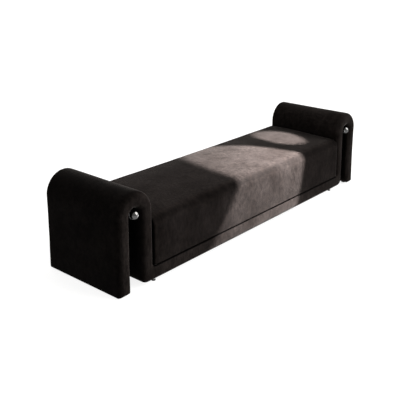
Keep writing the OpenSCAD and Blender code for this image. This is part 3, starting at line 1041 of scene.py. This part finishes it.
@dataclass
class RibbonUpholstery(Upholstery):
    """The padded ribbon: both slotted arms and the base between them, as one run of fabric."""

    crown_rise: float = 0.005
    crown_steps: int = 48
    turn_steps: int = 14
    window_x: float = 0.970
    window_y: float = 0.235
    window_z: float = 0.0474
    window_edge: float = 0.008
    held: float = 0.004
    loose: float = 0.012
    resting: float = 0.003
    lifted: float = 0.010
    fade: float = 0.020
    # Painted shade on the left arm's faces that turn left and up.
    side_shade_lean: tuple[float, float] = (0.85, 0.53)
    side_shade_from: float = -0.30
    side_shade_full: float = 0.70
    side_shade_depth: float = 0.68
    # Painted shade inside the slots.
    slot_rim: float = 0.004
    slot_fade: float = 0.006
    slot_shade_depth: float = 0.85
    past_joint: float = 0.05
    # Painted shade on the base's top in the seam under the seat.
    seam_shade_turn: tuple[float, float] = (0.35, 0.80)
    seam_shade_height: float = 0.02

    def volumes(self) -> Volumes:
        """Closed volumes of the right half of the ribbon, a little under size.

        Returns:
            The volumes.
        """
        s = self.sizes
        turn_z = s.base_clear + s.turn_round
        made = Volumes()
        self.outer_leg(made)
        crown = bend(s.slab, s.depth, self.around, s.path_round, -math.pi, self.crown_steps)
        rise = 1 + 2 * self.crown_rise / s.arm_width
        made.take(crown, Matrix.Translation((s.arm_x, 0, s.crown_z))
                  @ Matrix.Diagonal((1.0, 1.0, rise, 1.0)))
        made.take(bar(s.slab, s.depth, s.crown_z - turn_z + 2 * OVERLAP, self.around),
                  Matrix.Translation((s.inner_leg_x, 0, turn_z - OVERLAP)))
        made.take(bend(s.turn_round, s.depth, (0.0, s.edge_round, s.back_round, 0.0),
                       s.turn_round / 2, math.pi / 2, self.turn_steps),
                  Matrix.Translation((s.turn_x, 0, turn_z)))
        section = (s.base_top_round, s.edge_round, s.back_round, s.base_top_round)
        made.take(bar(s.slab, s.depth, s.turn_x + self.past_middle + OVERLAP, section),
                  Matrix.Translation((-self.past_middle, 0, s.base_clear + s.slab / 2)) @ ALONG_X)
        return made

    @property
    def around(self) -> Radii:
        """Edges of the ribbon in the arms: soft at the front and firmer at the back."""
        s = self.sizes
        return (s.edge_round, s.edge_round, s.back_round, s.back_round)

    def outer_leg(self, made: Volumes) -> None:
        """Add the outer leg, with a flat foot that turns up softly at the front.

        Args:
            made: Volumes of the ribbon.
        """
        s = self.sizes
        sole, tall = s.sole_round, 2 * (s.crown_z - s.leg_clear)
        middle = Vector((s.outer_leg_x, 0, s.crown_z))
        made.shared([
            (bar(s.slab, s.depth, tall / 2 + OVERLAP, self.around),
             Matrix.Translation((s.outer_leg_x, 0, s.leg_clear))),
            (bar(tall, s.depth, 2 * s.slab, (sole, s.edge_round, sole, sole)),
             Matrix.Translation(middle - Vector((s.slab, 0, 0))) @ ALONG_X),
            (bar(s.slab, tall, 2 * s.depth, (s.sole_inner_round, sole, sole, sole)),
             Matrix.Translation(middle + Vector((0, s.depth, 0))) @ TO_FRONT),
        ])

    def hold(self, points: np.ndarray) -> np.ndarray:
        """How firmly each point of the ribbon is held, from 0 to 1.

        Args:
            points: Points of the skin.

        Returns:
            The hold of each.
        """
        s = self.sizes
        x, z = points[:, 0], points[:, 2]
        under_seat = eased(z, s.base_top - self.loose, s.base_top - self.held) * eased(
            -x, -s.joint_x - self.fade, -s.joint_x)
        beside_seat = eased(-x, -s.joint_x - self.loose, -s.joint_x - self.held) * eased(
            -z, -s.seat_height, self.loose - s.seat_height) * eased(
            z, s.base_top, s.base_top + self.loose)
        underside = eased(-z, -s.base_clear - self.lifted, -s.base_clear - self.resting) * eased(
            -x, -s.turn_x, -s.turn_x + self.fade)
        feet = eased(-z, -s.leg_clear - self.lifted, -s.leg_clear - self.resting)
        return np.clip(np.maximum.reduce([under_seat, beside_seat, underside, feet]), 0, 1)

    def open_window(self, shape: BMesh) -> None:
        """Open the underside of the base up to the dust cloth, inside the turned-in fabric.

        Args:
            shape: Mesh of the base's right half.
        """
        limit = self.sizes.base_clear + self.window_edge

        def low() -> list[BMFace]:
            """The faces of the underside."""
            return [f for f in shape.faces if f.calc_center_median().z < limit]

        for place, normal in (((self.window_x, 0, 0), (1, 0, 0)),
                              ((0, self.window_y, 0), (0, 1, 0)),
                              ((0, -self.window_y, 0), (0, 1, 0))):
            bmesh.ops.bisect_plane(
                shape, geom=bounded(low()), dist=TINY, plane_co=place, plane_no=normal)
        inside = [f for f in low() if f.calc_center_median().x < self.window_x
                  and abs(f.calc_center_median().y) < self.window_y]
        rim = dict.fromkeys(e for f in inside for e in f.edges)
        bmesh.ops.delete(shape, geom=inside, context="FACES")
        rim = [e for e in rim if e.is_valid and e.is_boundary
               and not all(abs(v.co.x) < AT_MIDDLE for v in e.verts)]
        raised = bmesh.ops.extrude_edge_only(shape, edges=rim)["geom"]
        for vert in verts_in(raised):
            vert.co.z = self.window_z
        firm(rim)

    def build(self) -> None:
        """Make both arms and the base."""
        half = finished(self.volumes().mesh, "ribbon_half")
        self.padding.pad(half, self.hold)
        arm, base = worked(half), worked(half)
        bpy.data.objects.remove(half)
        limit = self.sizes.base_top + self.padding.voxel
        part_at(arm, self.sizes.joint_x, limit, True)
        part_at(base, self.sizes.joint_x, limit, False)
        cut_at(base, 0.0, True)
        self.open_window(base)
        base = joined(base, mirrored(base))
        close_cut(arm)
        close_cut(base)
        bmesh.ops.recalc_face_normals(base, faces=base.faces)
        pieces = {"left": mirrored(arm), "right": arm}
        for side, shape in pieces.items():
            piece = finished(shape, f"{side}_arm_upholstery")
            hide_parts(f"{side}_arm_cover", f"{side}_outer_leg_foam",
                        f"{side}_crown_foam", f"{side}_inner_leg_foam")
            self.settle(piece, 0.9)
        piece = finished(base, "base_upholstery")
        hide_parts("base_cover", "base_foam")
        self.settle(piece, 0.9)

    def painted_shade_at(self, points: np.ndarray, normals: np.ndarray) -> np.ndarray:
        """Painted shade on the left arm's outer sides, inside the slots and on the base's top in
        the seam under the seat.

        Args:
            points: Points of a skin.
            normals: Their normals.

        Returns:
            The painted shade at each.
        """
        s = self.sizes
        # Painted shade: the left arm's faces that turn left and up are darkened.
        facing = normals[:, 2] * self.side_shade_lean[1] - normals[:, 0] * self.side_shade_lean[0]
        left_side_shade = eased(facing, self.side_shade_from, self.side_shade_full) * self.side_shade_depth
        left_side_shade *= points[:, 0] < self.past_joint - s.joint_x
        beside = s.slot / 2 + self.slot_rim
        across, up = np.abs(points[:, 0]) - s.arm_x, points[:, 2] - s.crown_z
        away = np.where(up > 0, np.hypot(across, up), np.abs(across))
        # Painted shade: near black inside the slots.
        inside = eased(-away, -beside, self.slot_fade - beside) * self.slot_shade_depth
        # Painted shade: the base's top is darkened in the seam under the seat.
        seam = eased(normals[:, 2], *self.seam_shade_turn) * (
            np.abs(points[:, 0]) < s.joint_x) * (points[:, 2] < s.base_top + self.seam_shade_height)
        return np.maximum.reduce([left_side_shade, inside, seam])


@dataclass
class SeatUpholstery(Upholstery):
    """The seat block: a tight crowned block with a soft front edge and a firmer back edge."""

    padding: Padding = field(default_factory=lambda: Padding(
        voxel=0.0070, cap=0.0070, unevenness=0.0010))
    front_round: float = 0.065
    back_round: float = 0.014
    side_round: float = 0.012
    foot_round: float = 0.005
    crown: float = 0.003
    back_rise: float = 0.009
    rise_from: float = -0.25
    rise_full: float = 0.20
    crown_from: float = 0.10
    crown_full: float = 0.02
    softened: float = 0.020
    soft_passes: int = 2
    spare: float = 0.05
    loose: float = 0.010
    foot_held: float = 0.003
    end_held: float = 0.004
    end_gap: float = 0.0005
    lift: float = 0.0003
    seam_gap: float = 0.0100
    seam_depth: float = 0.014
    # Painted shade over the bend of the front edge.
    bend_shade_turn: Turns = (14.0, 48.0, 58.0, 82.0)
    bend_shade_depth: float = 0.50
    # Painted shade on the front face.
    front_shade_turn: tuple[float, float] = (30.0, 80.0)
    front_shade_depth: float = 0.30
    front_from: float = 0.05
    # Painted shade in the seam recess above the foot.
    seam_shade_fade: float = 0.0005
    seam_shade_inset: tuple[float, float] = (0.001, 0.003)
    # Painted shade at the ends beside the arms.
    end_shade_inset: tuple[float, float] = (0.011, 0.004)
    end_shade_depth: float = 0.90

    def volumes(self) -> Volumes:
        """Closed volume of the right half of the seat block, a little under size.

        Returns:
            The volume.
        """
        s = self.sizes
        low, high, depth = s.base_top + self.lift, s.seat_height - self.crown, s.depth
        side, foot = self.side_round, self.foot_round
        length = s.joint_x - self.end_gap + self.past_middle
        middle = Vector((length / 2 - self.past_middle, 0, (low + high) / 2))
        made = Volumes()
        made.shared([
            (bar(high - low, depth, length + 2 * self.spare,
                 (self.front_round, foot, foot, self.back_round)),
             Matrix.Translation(middle - Vector((length / 2 + self.spare, 0, 0))) @ ALONG_X),
            (bar(length, depth, 1.0, (side,) * 4), Matrix.Translation((middle.x, 0, 0))),
            (bar(length, high - low, 2 * depth, (side,) * 4),
             Matrix.Translation(middle + Vector((0, depth, 0))) @ TO_FRONT),
        ])
        return made

    def crown_top(self, piece: Object) -> None:
        """Raise the middle of the top and soften the end beside the arm.

        Args:
            piece: Skin of the seat's right half.
        """
        s = self.sizes
        points = points_of(piece.data)
        share = np.clip(1 - (2 * points[:, 1] / s.depth) ** 2, 0, 1)
        back = eased(points[:, 1], self.rise_from, self.rise_full)
        lift = self.crown * share + self.back_rise * back
        points[:, 2] += lift * eased(
            points[:, 2], s.base_top + self.crown_from, s.seat_height - self.crown_full)
        put_points(piece.data, points)
        shape = worked(piece)
        end = s.joint_x - self.end_gap
        for _ in range(self.soft_passes):
            near = [v for v in shape.verts if v.co.x > end - self.softened]
            bmesh.ops.smooth_vert(shape, verts=near, factor=0.5, use_axis_x=True,
                                  use_axis_y=True, use_axis_z=True)
        shape.to_mesh(piece.data)
        shape.free()

    def hold(self, points: np.ndarray) -> np.ndarray:
        """How firmly each point of the seat is held, from 0 to 1.

        Args:
            points: Points of the skin.

        Returns:
            The hold of each.
        """
        s = self.sizes
        end = s.joint_x - self.end_gap
        under = eased(
            -points[:, 2], -s.base_top - self.loose, -s.base_top - self.foot_held)
        beside = eased(points[:, 0], end - self.loose, end - self.end_held)
        return np.maximum(under, beside)

    def undercut(self, shape: BMesh) -> None:
        """Draw the foot of the seat in behind its edge, which leaves a dark line along the base.

        Args:
            shape: Mesh of the whole seat.
        """
        base = self.sizes.base_top
        bmesh.ops.bisect_plane(
            shape, geom=whole(shape), dist=TINY, plane_co=(0, 0, base + self.seam_gap),
            plane_no=(0, 0, 1), clear_inner=True)
        rim = [e for e in shape.edges if e.is_boundary]
        under = bmesh.ops.holes_fill(shape, edges=rim, sides=0)["faces"]
        bmesh.ops.inset_region(
            shape, faces=under, thickness=self.seam_depth, use_even_offset=True)
        foot = bmesh.ops.extrude_face_region(shape, geom=under)["geom"]
        bmesh.ops.delete(shape, geom=under, context="FACES")
        for vert in verts_in(foot):
            vert.co.z = base + self.lift
        firm(rim)

    def painted_shade_at(self, points: np.ndarray, normals: np.ndarray) -> np.ndarray:
        """Painted shade on the front face and over the bend of its front edge, in the seam recess
        and at the ends beside the arms.

        Args:
            points: Points of the skin.
            normals: Their normals.

        Returns:
            The painted shade at each.
        """
        turned = np.degrees(np.arctan2(-normals[:, 1], normals[:, 2]))
        start, full, fading, end = self.bend_shade_turn
        # Painted shade over the bend of the front edge.
        bend_shade = eased(turned, start, full) * eased(-turned, -end, -fading) * self.bend_shade_depth
        bend_shade *= eased(-points[:, 1], 0.0, self.front_from)
        # Painted shade in the seam recess, just above the drawn-in foot.
        depth = self.sizes.depth / 2 - np.abs(points[:, 1])
        foot = self.sizes.base_top + self.seam_gap
        seam = eased(-points[:, 2], -foot - self.seam_shade_fade, -foot) * eased(
            depth, *self.seam_shade_inset)
        # Painted shade at the ends beside the arms.
        beside = eased(np.abs(points[:, 0]), *(self.sizes.joint_x - i for i in self.end_shade_inset))
        # Painted shade on the front face.
        front = eased(turned, *self.front_shade_turn) * self.front_shade_depth
        return np.maximum.reduce([front, bend_shade, seam, beside * self.end_shade_depth])

    def build(self) -> None:
        """Make the seat block."""
        half = finished(self.volumes().mesh, "seat_half")
        self.padding.pad(half, self.hold)
        self.crown_top(half)
        shape = worked(half)
        bpy.data.objects.remove(half)
        cut_at(shape, 0.0, True)
        shape = joined(shape, mirrored(shape))
        self.undercut(shape)
        bmesh.ops.recalc_face_normals(shape, faces=shape.faces)
        piece = finished(shape, "seat_upholstery")
        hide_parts("seat_cover", "seat_foam")
        self.settle(piece, 0.85)


@dataclass
class SlotBalls(Assembly):
    """Polished balls on the ends of the rods."""

    sizes: BenchSizes = field(default_factory=BenchSizes)
    rings: int = 32

    def build(self) -> None:
        """Make the four balls."""
        s = self.sizes
        reach = s.depth / 2 - s.ball_inset
        for side, x_sign in (("left", -1), ("right", 1)):
            for end, y_sign in (("front", -1), ("back", 1)):
                shape = self.ball()
                bmesh.ops.translate(
                    shape, vec=(x_sign * s.arm_x, y_sign * reach, s.crown_z), verts=shape.verts)
                piece = finished(shape, f"{side}_{end}_polished_ball")
                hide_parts(f"{side}_{end}_ball")
                self.finishes.dress(piece, Slot.STEEL)
                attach(piece, BODY)
                log.info("%s", piece.name)

    def ball(self) -> BMesh:
        """A ball turned on the rod's axis.

        Returns:
            Its mesh.
        """
        shape = bmesh.new()
        bmesh.ops.create_circle(shape, segments=2 * self.rings, radius=self.sizes.ball_diameter / 2)
        bmesh.ops.delete(
            shape, geom=[v for v in shape.verts if v.co.x < -TINY], context="VERTS")
        bmesh.ops.spin(
            shape, geom=whole(shape), cent=(0, 0, 0), axis=(0, 1, 0),
            angle=2 * math.pi, steps=2 * self.rings, use_merge=True)
        bmesh.ops.remove_doubles(shape, verts=shape.verts, dist=TINY)
        bmesh.ops.recalc_face_normals(shape, faces=shape.faces)
        return shape


class FramePieces(Assembly):
    """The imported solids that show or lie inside, with their finishes."""

    ENDINGS: dict[Slot, tuple[str, ...]] = {
        Slot.PILE: ("_cover",),
        Slot.FOAM: ("_foam",),
        Slot.PLYWOOD: ("_ribs", "_skin", "_deck"),
        Slot.TIMBER: ("_sills", "_battens", "_rails", "_crossbars", "_frame"),
        Slot.STEEL: ("_rod", "_posts", "_screws", "_ball"),
        Slot.ZINC: ("_bolts", "_stud", "_inserts"),
        Slot.DUST_CLOTH: ("_dust_cloth",),
        Slot.WEBBING: ("_webbing",),
        Slot.NYLON: ("_glides", "_pad"),
    }
    WELD = 1e-5
    CORNER = 32

    def build(self) -> None:
        """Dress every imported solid."""
        for name, piece in sorted(frame["nodes"].items()):
            slot = next(s for s, endings in self.ENDINGS.items() if name.endswith(endings))
            self.finishes.dress(piece, slot)
            self.soften(piece)
        log.info("dressed %d packed solids", len(frame["nodes"]))

    def soften(self, piece: Object) -> None:
        """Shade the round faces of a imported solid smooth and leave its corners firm.

        Args:
            piece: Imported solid.
        """
        for face in piece.data.polygons:
            face.use_smooth = True
        weld = piece.modifiers.new("weld", "WELD")
        weld.merge_threshold = self.WELD
        split = piece.modifiers.new("corners", "EDGE_SPLIT")
        split.split_angle = math.radians(self.CORNER)


# Studio


@dataclass
class Studio:
    """Pale floor, soft light and the camera."""

    camera_place: Place = (-3.6395, -2.9261, 1.9571)
    heading: float = 49.108
    tilt: float = 14.698
    focal: float = 694.26
    rise: float = 0.20
    picture: int = 400
    sensor: float = 36.0
    reach: float = 1200.0
    glow: float = 0.86
    world_glow: float = 0.64
    world_colour: Colour = (1.0, 0.98, 0.95)
    pool_colour: Colour = (1.0, 0.97, 0.96)
    pool_blend: float = 0.16
    lamp_round: float = 0.03
    sky_spread: float = 60.0

    def floor(self) -> None:
        """Lay the pale floor."""
        shape = bmesh.new()
        bmesh.ops.create_grid(shape, x_segments=1, y_segments=1, size=0.5)
        bmesh.ops.scale(shape, vec=(self.reach, self.reach, 1.0), verts=shape.verts)
        floor = finished(shape, "studio_floor")
        recipe = Recipe("studio_floor")
        recipe.surface(
            Base_Color=recipe.shades(
                recipe.cloud(0.8, 3.0), [(0.3, (0.16,) * 3), (0.7, (0.18,) * 3)]),
            Roughness=0.9, Emission_Color=(1.0, 1.0, 1.0, 1.0), Emission_Strength=self.glow)
        floor.data.materials.append(recipe.material)

    def beam(self, name: str, place: Place, aim: Place, cone: float, power: float,
             stretch: float = 1.0, roll: float = 0.0) -> None:
        """Hang one lamp that makes a soft pool of light.

        Args:
            name: Name of the lamp.
            place: Its middle.
            aim: The point that it faces.
            cone: Angle across the pool, in degrees.
            power: Watts.
            stretch: How many times longer than wide the pool is.
            roll: Turn of its long side, in radians.
        """
        data = bpy.data.lights.new(name, "SPOT")
        data.spot_size = math.radians(cone)
        data.spot_blend = self.pool_blend
        data.shadow_soft_size = self.lamp_round
        data.energy = power
        data.color = self.pool_colour
        lamp = self.hang(name, data, place, aim)
        lamp.rotation_euler = (lamp.rotation_euler.to_quaternion()
                               @ Quaternion((0.0, 0.0, 1.0), roll)).to_euler()
        lamp.scale = (stretch, 1.0, 1.0)

    def sky(self, name: str, place: Place, strength: float, colour: Colour) -> None:
        """Light everything softly from one side.

        Args:
            name: Name of the light.
            place: A point on the way to the light from the origin.
            strength: Light that falls on a face turned to it.
            colour: Colour of the light.
        """
        data = bpy.data.lights.new(name, "SUN")
        data.angle = math.radians(self.sky_spread)
        data.energy = strength
        data.color = colour
        self.hang(name, data, place, (0.0, 0.0, 0.0))

    def hang(self, name: str, data: Light, place: Place, aim: Place) -> Object:
        """Put a lamp in its place.

        Args:
            name: Name of the lamp.
            data: Kind of lamp.
            place: Its middle.
            aim: The point that it faces.

        Returns:
            The lamp.
        """
        lamp = bpy.data.objects.new(name, data)
        lamp.location = place
        lamp.rotation_euler = (Vector(aim) - Vector(place)).to_track_quat("-Z", "Y").to_euler()
        bpy.context.scene.collection.objects.link(lamp)
        return lamp

    def lights(self) -> None:
        """Light the studio."""
        world = bpy.data.worlds.new("studio")
        world.use_nodes = True
        background = world.node_tree.nodes["Background"]
        background.inputs["Color"].default_value = (*self.world_colour, 1.0)
        background.inputs["Strength"].default_value = self.world_glow
        bpy.context.scene.world = world
        self.sky("side_light", (4.3, -4.2, 3.9), 7.1, (1.0, 0.98, 0.955))
        self.sky("back_light", (1.2, 4.6, 2.4), 1.4, (1.0, 0.98, 0.96))
        self.beam("seat_lamp", (0.902, -0.885, 1.486), (0.222, -0.440, 0.35),
                  cone=27.8, power=4750.0, stretch=1.980, roll=0.6813)
        self.beam("corner_lamp", (0.843, -2.003, 2.2), (0.75, 0.079, 0.40),
                  cone=6.5, power=12500.0)

    def camera(self) -> None:
        """Set the camera to the photograph's angle."""
        data = bpy.data.cameras.new("camera")
        data.sensor_width = self.sensor
        data.lens = self.focal / self.picture * self.sensor
        data.shift_y = -self.rise
        data.clip_end = self.reach
        camera = bpy.data.objects.new("camera", data)
        camera.location = self.camera_place
        camera.rotation_euler = (math.radians(90 - self.tilt), 0.0, -math.radians(self.heading))
        bpy.context.scene.collection.objects.link(camera)
        bpy.context.scene.camera = camera

    def build(self) -> None:
        """Set up the whole studio."""
        bpy.context.scene.view_settings.view_transform = "Standard"
        self.floor()
        self.lights()
        self.camera()


def main() -> None:
    """Build the bench and its studio."""
    logging.basicConfig(level=logging.INFO, format="%(name)s: %(message)s")
    for old in [o for o in bpy.context.scene.objects if o.name in ("Cube", "Light", "Camera")]:
        bpy.data.objects.remove(old)
    finishes = Finishes()
    Studio().build()
    for assembly in (FramePieces, RibbonUpholstery, SeatUpholstery, SlotBalls):
        assembly(finishes).build()


if __name__ == "__main__":
    main()
